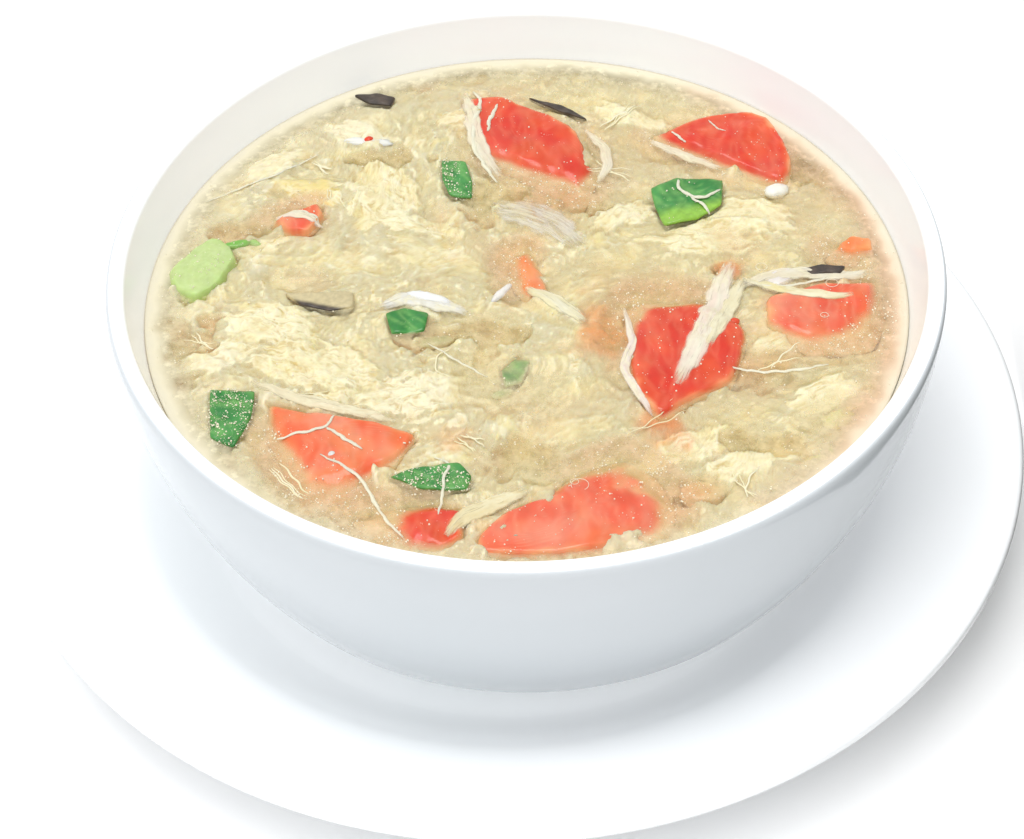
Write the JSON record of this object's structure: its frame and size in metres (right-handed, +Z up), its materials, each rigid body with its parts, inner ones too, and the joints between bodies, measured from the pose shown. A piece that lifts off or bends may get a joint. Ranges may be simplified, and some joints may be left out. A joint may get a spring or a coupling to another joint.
{
  "type": "bowl of tomato egg soup",
  "caption": "White glazed bowl on a white under-plate, filled with tomato egg soup: floating egg curd, tomato chunks, green leaf pieces and mushroom slivers.",
  "frame": {"origin": "under the middle of the plate, on the surface it stands on", "axes": "+Z up, out of the bowl; +Y away from the picture's viewer, +X to the viewer's right; the bowl's own axis stands 3.9 mm to +X of the origin"},
  "size_m": [0.219, 0.219, 0.0708],
  "materials": {
    "glaze": "smooth white glaze",
    "broth": "wet, cloudy straw-coloured broth",
    "egg": "wet pale yellow cooked egg",
    "tomato_red": "wet red tomato",
    "tomato_orange": "wet orange-red tomato",
    "stalk": "wet pale green stalk",
    "leaf": "wet green leaf",
    "mushroom": "wet dark brown mushroom"
  },
  "bodies": {
    "root": {"plate": "glaze", "bowl": "glaze", "soup": "broth", "egg_curd": "egg", "tomato_back": "tomato_red", "tomato_back_right": "tomato_red", "tomato_middle": "tomato_red", "tomato_right": "tomato_red", "tomato_left": "tomato_orange", "tomato_front_left": "tomato_orange", "tomato_front": "tomato_red", "tomato_front_right": "tomato_orange", "tomato_far_right": "tomato_orange", "tomato_scrap": "tomato_orange", "stalk": "stalk", "leaf_back_left": "leaf", "leaf_back_right": "leaf", "leaf_middle": "leaf", "leaf_small": "leaf", "leaf_left": "leaf", "leaf_front": "leaf", "mushroom_back_left": "mushroom", "mushroom_back": "mushroom", "mushroom_left": "mushroom", "mushroom_right": "mushroom"}
  },
  "joints": []
}
